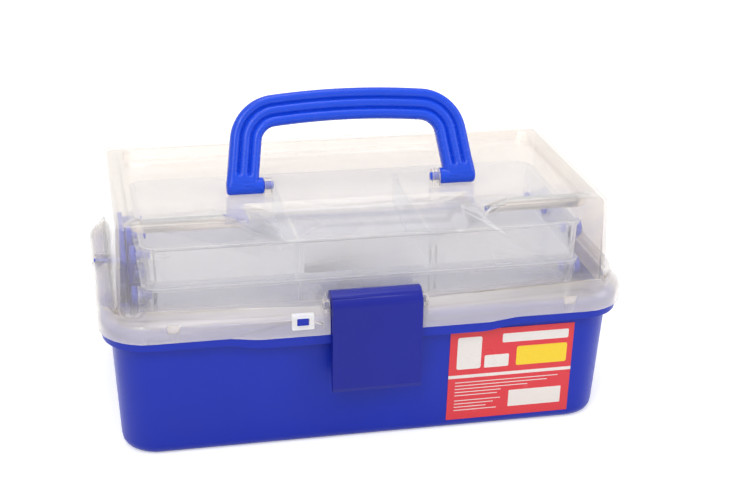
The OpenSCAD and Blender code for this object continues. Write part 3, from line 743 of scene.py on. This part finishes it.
@dataclass
class PadlockEye:
    """The raised frame on the lid's flange, and the tub's tab that shows in its window.

    Attributes:
        middle: Its middle along X and its height.
        frame: Width and height of the frame.
        window: Width and height of its window.
        front: Place of the frame's face along Y.
        back: Place of the frame's back, inside the flange.
        recess: How far the tab stays behind the frame's face.
        tab_back: Where the tab ends, on the tub's rim.
        tab_gap: Room between the tab and each side of the window.
        corner: Radius of the corners.
        plastic: The frame's thick, nearly white plastic.
    """

    middle: Pair = (-38.6, 77.0)
    frame: Pair = (11.4, 8.4)
    window: Pair = (6.4, 4.2)
    front: float = -82.2
    back: float = -79.8
    recess: float = 0.6
    tab_back: float = -76.8
    tab_gap: float = 0.25
    corner: float = 0.5
    plastic: MilkyPlastic = MilkyPlastic("thick_plastic", (0.96, 0.955, 0.96), milk=0.7)

    def loop(self, size: Pair, y: float) -> Array:
        """Rows of x, y and z round a rounded rectangle of the size, at one place along Y."""
        outline = rounded_rectangle(*size, self.corner)
        outline = outline + np.array(self.middle) - np.array(size) / 2
        return np.stack([outline[:, 0], np.full(len(outline), y), outline[:, 1]], axis=-1)

    def frame_shell(self) -> Shell:
        """The frame: four loops, each joined to the next and the last to the first."""
        loops = np.stack([self.loop(self.frame, self.front), self.loop(self.window, self.front),
                          self.loop(self.window, self.back), self.loop(self.frame, self.back)])
        rings, count = loops.shape[:2]
        faces = grid_faces(rings + 1, count, True) % (rings * count)
        return loops.reshape(-1, 3), faces.tolist()

    def build(self, finishes: Finishes) -> list[Piece]:
        """Builds the frame on the lid and the tab on the tub, and returns both."""
        frame = new_piece("padlock_frame", [self.frame_shell()], self.plastic.material())
        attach(frame, "lid_body")
        size = (self.window[0] - 2 * self.tab_gap, self.window[1])
        rings = np.stack([self.loop(size, self.front + self.recess),
                          self.loop(size, self.tab_back)])
        rings[..., 2] -= self.tab_gap
        tab = new_piece("padlock_tab", [tube_mesh(rings)], finishes.of(Slot.TUB))
        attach(tab, "base")
        return [frame, tab]


# ---- Handle ----


@dataclass
class Handle:
    """The bail handle: a ribbed band bent from foot to foot, on two round feet.

    Attributes:
        pivot_y: Pivot line behind the middle of the box.
        pivot_z: Height of the pivot line.
        height: From the pivot line to the top of the grip.
        band: Width of the band.
        thickness: Depth of the band.
        half_span: From the middle to the middle of a foot.
        lean: How far the raised handle leans back, in degrees.
        flare: How far each leg leans outwards, in degrees.
        crown_radius: Radius of the grip's arch.
        bend_radius: Radius of the bends.
        foot_radius: Radius of the feet.
        foot_inner: Inner face of each foot.
        pin_end: Inner end of each pivot pin.
        pin_radius: Radius of the pins.
        rib_rise: How far the ribs' round backs rise.
        rib_share: Width of a rib as a share of the band.
        rib_wrap: How much of its half circle each rib shows.
        edge_wrap: The same for the plain bar's edges.
        groove_end: Where the grooves run out, along the leg from the pivot line.
        groove_fade: Length over which they run out.
        crown_sag: How far the grip's ends lie under its middle.
        steps: Steps along each leg, each bend and half the grip.
        across_steps: Points across the band.
        rounds: Radii of the pins' ends and of each foot's inner and outer edge.
        round_steps: Points along each of these.
    """

    pivot_y: float = -14.0
    pivot_z: float = 126.4
    height: float = 50.2
    band: float = 17.0
    thickness: float = 9.0
    half_span: float = 59.9
    lean: float = 25.0
    flare: float = 8.0
    crown_radius: float = 420.0
    bend_radius: float = 17.5
    foot_radius: float = 4.4
    foot_inner: float = 48.6
    pin_end: float = 43.4
    pin_radius: float = 2.2
    rib_rise: float = 3.1
    rib_share: float = 0.33
    rib_wrap: float = 0.995
    edge_wrap: float = 0.95
    groove_end: float = 4.6
    groove_fade: float = 2.6
    crown_sag: float = 2.7
    steps: tuple[int, int, int] = (40, 30, 24)
    across_steps: int = 73
    rounds: tuple[float, float, float] = (0.6, 0.8, 2.0)
    round_steps: int = 8

    def middle_line(self) -> Array:
        """The band's middle line from the right foot to the left one.

        Returns:
            Rows of x, z and the direction of the outer side: a straight leg, an arc of the
            bend's radius and an arc of the crown's radius, each starting where the last ends,
            and then the same mirrored.
        """
        flare = math.radians(self.flare)
        crown_z = self.height - self.band / 2
        drop = crown_z - self.bend_radius * (1 - math.sin(flare)) - self.crown_sag
        span = math.asin((self.half_span - self.bend_radius * math.cos(flare)
                          - drop * math.tan(flare)) / (self.crown_radius - self.bend_radius))
        reach = self.crown_radius - self.bend_radius
        centre = np.array([reach * math.sin(span),
                           crown_z - self.crown_radius + reach * math.cos(span)])
        top = centre + self.bend_radius * np.array([math.cos(flare), math.sin(flare)])
        t = np.linspace(0, 1, self.steps[0], endpoint=False)
        leg = np.stack([top[0] + top[1] * (1 - t) * math.tan(flare), top[1] * t,
                        np.full_like(t, flare)], axis=-1)
        a = np.linspace(flare, math.pi / 2 - span, self.steps[1], endpoint=False)
        bend = np.stack([centre[0] + self.bend_radius * np.cos(a),
                         centre[1] + self.bend_radius * np.sin(a), a], axis=-1)
        b = np.linspace(math.pi / 2 - span, math.pi / 2, self.steps[2])
        crown = np.stack([self.crown_radius * np.cos(b),
                          crown_z - self.crown_radius + self.crown_radius * np.sin(b), b], axis=-1)
        half = np.concatenate([leg, bend, crown])
        return np.concatenate([half, half[-2::-1] * [-1, 1, -1] + [0, 0, math.pi]])

    def depth(self, across: Array, grooved: Array) -> Array:
        """Half the band's depth at a place across it.

        Args:
            across: Distance from the middle line, as a row.
            grooved: From 0, a plain rounded bar, to 1, three full ribs, as a column.

        Returns:
            The half depth: its greatest value, less the rise times one minus the height of a
            unit half circle over each rib, or over the whole band where it is plain.
        """
        rib = self.band * self.rib_share
        middle = np.clip(np.round(across / rib), -1, 1) * rib
        u = np.clip((across - middle) / (rib / 2) * self.rib_wrap, -1, 1)
        ribbed = self.thickness / 2 - self.rib_rise * (1 - np.sqrt(1 - u * u))
        inward = (np.abs(across) - self.band / 2 + rib / 2) / (rib / 2)
        edge = np.clip(inward * self.edge_wrap, 0, 1)
        plain = self.thickness / 2 - self.rib_rise * (1 - np.sqrt(1 - edge * edge))
        return plain + (ribbed - plain) * grooved

    def band_rings(self) -> Array:
        """Rings of the band's section along its middle line, before it leans back."""
        line = self.middle_line()
        step = np.linalg.norm(np.diff(line[:, :2], axis=0), axis=1)
        along = np.concatenate([[0], np.cumsum(step)])
        from_foot = np.minimum(along, along[-1] - along)
        t = np.clip((from_foot - self.groove_end) / self.groove_fade, 0, 1)
        grooved = (t * t * (3 - 2 * t))[:, None]
        even = np.linspace(-1, 1, self.across_steps)
        across = self.band / 2 * (even + np.sin(even * math.pi / 2)) / 2
        front = -self.depth(across[None], grooved)
        out = np.concatenate([across, across[-2:0:-1]])
        depth = np.concatenate([front, -front[:, -2:0:-1]], axis=1)
        x = line[:, :1] + out * np.cos(line[:, 2:])
        z = line[:, 1:2] + out * np.sin(line[:, 2:])
        return np.stack([x, depth, z], axis=-1)

    def foot_rings(self, side: Side) -> Array:
        """Rings of one foot with its hub and pivot pin, before the handle leans back."""
        outer = self.half_span + self.band / 2
        r, pin = self.foot_radius, self.pin_radius
        turn = np.linspace(0, math.pi / 2, self.round_steps)
        rise, drop = 1 - np.sin(turn), 1 - np.cos(turn)
        tip, edge, rim = self.rounds
        nose = np.stack([self.pin_end + tip * rise, pin - tip * drop], axis=-1)[::-1]
        shoulder = np.stack([self.foot_inner + edge * rise, r - edge * drop], axis=-1)[::-1]
        end = np.stack([outer - rim * rise, r - rim * drop], axis=-1)
        profile = np.concatenate([nose, [[self.foot_inner, pin]], shoulder, end])
        rings = revolved(profile)
        rings[..., 0] *= side.value
        return rings

    def lean_back(self, points: Array) -> Array:
        """Turns points about the pivot line: y gains z times the sine of the lean."""
        a = math.radians(self.lean)
        x, y, z = points[..., 0], points[..., 1], points[..., 2]
        return np.stack([x, self.pivot_y + y * math.cos(a) + z * math.sin(a),
                         self.pivot_z - y * math.sin(a) + z * math.cos(a)], axis=-1)

    def build(self, finishes: Finishes) -> Piece:
        """Builds the handle and puts it in its node's place."""
        shells = [self.band_rings(), *(self.foot_rings(side) for side in Side)]
        piece = new_piece("ribbed_handle", [tube_mesh(self.lean_back(s)) for s in shells],
                          finishes.of(Slot.HANDLE))
        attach(piece, "handle_body")
        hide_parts("handle")
        return piece


# ---- Label ----


@dataclass(frozen=True)
class Patch:
    """One plain printed patch of the label: its corner, size and corner radius."""

    left: float
    bottom: float
    width: float
    height: float
    radius: float = 0.4


@dataclass
class LabelPrint:
    """Plain patches and write-on rules printed on the front label.

    Attributes:
        film: Thickness of a printed patch.
        patches: Off-white patches and rules.
        accent: The one yellow patch.
        rule: Where the write-on rules start, their height and the radius of their corners.
        rule_bottom: Where each of them lies.
        rule_width: Width of each of them.
        sunk: How deep a film's back lies inside the label.
        shoulder: Height of a film's edge as a share of the film.
        inset: Size of its face as a share of its outline.
        edge_zone: Points this close to the label's lowest or highest one are on that edge.
    """

    film: float = 0.05
    patches: tuple[Patch, ...] = (
        Patch(29.0, 45.6, 37.0, 5.4, 0.8),
        Patch(4.2, 31.0, 13.4, 19.4, 1.2),
        Patch(19.6, 31.0, 13.6, 7.6, 0.8),
        Patch(0.0, 25.6, 69.0, 1.9, 0.02),
        Patch(34.6, 5.4, 29.8, 10.2, 0.5),
    )
    accent: Patch = Patch(37.4, 31.0, 28.4, 11.6, 1.2)
    rule: tuple[float, float, float] = (4.0, 0.45, 0.1)
    rule_bottom: tuple[float, ...] = (22.6, 20.6, 18.6, 16.6, 14.6, 11.4, 9.4, 7.4, 5.4)
    rule_width: tuple[float, ...] = (58.0, 52.0, 41.0, 26.0, 24.0, 26.0, 22.0, 18.0, 24.0)
    sunk: float = 0.02
    shoulder: float = 0.7
    inset: float = 0.999
    edge_zone: float = 0.5

    def on_face(self, outline: Array, lift: float) -> Array:
        """Puts an outline on the label's tilted face.

        Args:
            outline: Rows of distance right and up from the face's lower left corner.
            lift: Height over the face.

        Returns:
            Points in millimetres: the corner, plus right times X, up times the face's slope,
            and lift times its normal.
        """
        co = points_of(bpy.data.objects["front_label"].data)
        low = co[co[:, 2] < co[:, 2].min() + self.edge_zone]
        high = co[co[:, 2] > co[:, 2].max() - self.edge_zone]
        corner = np.array([co[:, 0].min(), low[:, 1].min(), low[low[:, 1].argmin(), 2]])
        top = np.array([co[:, 0].min(), high[:, 1].min(), high[high[:, 1].argmin(), 2]])
        up = (top - corner) / np.linalg.norm(top - corner)
        right = np.array([1.0, 0.0, 0.0])
        normal = np.cross(right, up)
        return corner + outline[:, :1] * right + outline[:, 1:] * up + lift * normal

    def shell(self, patch: Patch) -> Shell:
        """A patch's closed film: its outline from just inside the face to just over it."""
        outline = rounded_rectangle(patch.width, patch.height, patch.radius)
        outline = outline + [patch.left, patch.bottom]
        middle = outline.mean(0)
        inner = middle + (outline - middle) * self.inset
        rings = np.stack([self.on_face(outline, -self.sunk),
                          self.on_face(outline, self.film * self.shoulder),
                          self.on_face(inner, self.film)])
        return tube_mesh(rings)

    def build(self) -> list[Piece]:
        """Builds every patch on the base and returns the printed pieces."""
        white = PrintedFilm("label_white", linear(238, 232, 226)).material()
        yellow = PrintedFilm("label_yellow", linear(250, 214, 40)).material()
        left, height, radius = self.rule
        rules = [Patch(left, low, wide, height, radius)
                 for low, wide in zip(self.rule_bottom, self.rule_width)]
        groups = {
            "label_patches": ([self.shell(p) for p in self.patches], white),
            "label_accent": ([self.shell(self.accent)], yellow),
            "label_rules": ([self.shell(r) for r in rules], white),
        }
        pieces = []
        for name, (shells, ink) in groups.items():
            piece = new_piece(name, shells, ink)
            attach(piece, "base")
            pieces.append(piece)
        return pieces


# ---- Studio ----


@dataclass(frozen=True)
class Lamp:
    """A square lamp that faces the box: its name, place and side in metres, and its watts."""

    name: str
    place: Place
    side: float
    power: float


@dataclass
class Studio:
    """White floor, plain soft lamps, and the camera.

    Attributes:
        yaw: Turn of the camera about Z, in radians.
        pitch: How far it looks down, in radians.
        roll: Its roll, in radians.
        focal_px: Focal length for an image 745 wide.
        eye: Its place, in metres.
        far_m: How far it sees.
        lamps: Every lamp.
        aim: What the lamps face, in metres.
        dim: Strength of the surround as light.
        bright: Its strength for sight, mirrors and glass.
        floor_half: Half the floor's side, in millimetres.
        floor_drop: How far it lies under the box, in millimetres.
        floor_points: Points along each side of it.
        floor_white: How white it is, and the light that it adds where it is seen.
        clear_bounces: Clear faces that light may go through.
    """

    yaw: float = -0.2247
    pitch: float = 0.4046
    roll: float = 0.0241
    focal_px: float = 1445.72
    eye: Place = (-0.15213, -0.73224, 0.40092)
    far_m: float = 50.0
    lamps: tuple[Lamp, ...] = (
        Lamp("key", (-0.7, -1.4, 1.6), 1.1, 13.5),
        Lamp("fill", (1.6, -0.9, 1.0), 1.2, 8.0),
        Lamp("top", (-0.1, 0.1, 2.0), 1.2, 12.5),
        Lamp("spark", (-0.45, -0.9, 1.15), 0.16, 0.8),
    )
    aim: Place = (0.0, 0.0, 0.07)
    dim: float = 0.55
    bright: float = 1.0
    floor_half: float = 6000.0
    floor_drop: float = 0.02
    floor_points: int = 5
    floor_white: Pair = (0.9, 0.4)
    clear_bounces: int = 40

    def camera(self) -> None:
        """Makes the camera from its forward, right and up directions."""
        forward = Vector((-math.sin(self.yaw) * math.cos(self.pitch),
                          math.cos(self.yaw) * math.cos(self.pitch), -math.sin(self.pitch)))
        right = Vector((math.cos(self.yaw), math.sin(self.yaw), 0.0))
        up = right.cross(forward)
        c, s = math.cos(self.roll), math.sin(self.roll)
        right, up = c * right + s * up, c * up - s * right
        data = bpy.data.cameras.new("camera")
        data.sensor_width = SENSOR_MM
        data.lens = self.focal_px / IMAGE_WIDTH_PX * SENSOR_MM
        data.clip_end = self.far_m
        camera = linked("camera", data)
        turn = Matrix((right, up, -forward)).transposed().to_4x4()
        camera.matrix_world = Matrix.Translation(self.eye) @ turn
        bpy.context.scene.camera = camera

    def light(self, lamp: Lamp) -> None:
        """Adds a lamp and turns it to the box."""
        data = bpy.data.lights.new(lamp.name, "AREA")
        data.size = lamp.side
        data.energy = lamp.power
        piece = linked(lamp.name, data)
        piece.location = lamp.place
        way = Vector(self.aim) - Vector(lamp.place)
        piece.rotation_euler = way.to_track_quat("-Z", "Y").to_euler()

    def world(self) -> None:
        """A white surround for sight, mirrors and glass, and a dimmer one for light."""
        tree = ShaderTree("studio", world=True)
        dim, bright = (tree.add("Background", Color=WHITE, Strength=strength).outputs[0]
                       for strength in (self.dim, self.bright))
        bpy.context.scene.world = tree.close(tree.mix(tree.seen(), dim, bright))

    def floor(self) -> None:
        """A wide white floor that keeps the box's shadow and is white where it has none."""
        tree = ShaderTree("floor_white")
        white, glow = self.floor_white
        matt = tree.add("BsdfDiffuse", Color=(white, white, white, 1.0), Roughness=0.5)
        lift = tree.add("Emission", Color=WHITE, Strength=tree.math("MULTIPLY", tree.seen(), glow))
        both = tree.fill(tree.add("AddShader"), matt.outputs[0], lift.outputs[0])
        axis = np.linspace(-self.floor_half, self.floor_half, self.floor_points)
        x, y = np.meshgrid(axis, axis, indexing="ij")
        points = np.stack([x, y, np.full_like(x, -self.floor_drop)], axis=-1).reshape(-1, 3)
        faces = grid_faces(self.floor_points, self.floor_points, False)[:, ::-1]
        mesh = bpy.data.meshes.new("floor")
        mesh.from_pydata(points * MM, [], faces.tolist())
        mesh.materials.append(tree.close(both))
        floor = linked("floor", mesh)

    def build(self) -> None:
        """Makes the camera, the surround, the floor and the lamps."""
        self.camera()
        self.world()
        self.floor()
        for lamp in self.lamps:
            self.light(lamp)
        scene = bpy.context.scene
        scene.view_settings.view_transform = "Standard"
        scene.cycles.transparent_max_bounces = self.clear_bounces


# ---- The box ----


def both_sides(node: str, body: str, slot: Slot) -> list[Moulding]:
    """The mouldings of the left and the right one of two like nodes."""
    return [Moulding(f"{node}_{side.name.lower()}", body, slot) for side in Side]


MOULDINGS = (
    Moulding("tub", "base", Slot.TUB),
    *both_sides("hinge_pin", "base", Slot.STEEL),
    Moulding("front_label", "base", Slot.LABEL),
    LidMoulding("lid", "lid_body", Slot.LID, angle=48.0),
    Moulding("latch", "latch_body", Slot.LATCH),
    Moulding("lower_tray", "lower_tray_body", Slot.TRAY),
    *both_sides("lower_divider", "lower_tray_body", Slot.TRAY),
    Moulding("upper_tray", "upper_tray_body", Slot.TRAY),
    *both_sides("upper_divider", "upper_tray_body", Slot.TRAY),
    *both_sides("long_arm", "long_arms", Slot.ARM),
    *both_sides("front_arm", "front_arms", Slot.ARM),
    *both_sides("rear_arm", "rear_arms", Slot.ARM),
    *both_sides("lid_link", "lid_links", Slot.ARM),
)


def corners(box: tuple[Vector, Vector]) -> list[list[float]]:
    """A box's two corners as plain lists of numbers."""
    return [[float(c) for c in corner] for corner in box]


def main() -> None:
    """Builds the box in order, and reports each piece."""
    logging.basicConfig(level=logging.INFO, format="%(name)s: %(message)s")
    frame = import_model()
    finishes = Finishes()
    Studio().build()
    pieces = [moulding.build(frame, finishes) for moulding in MOULDINGS]
    pieces += [Handle().build(finishes), *PadlockEye().build(finishes)]
    for piece in pieces + LabelPrint().build():
        LOG.info("%s: %d faces", piece.name, len(piece.data.polygons))


if __name__ == "__main__":
    main()
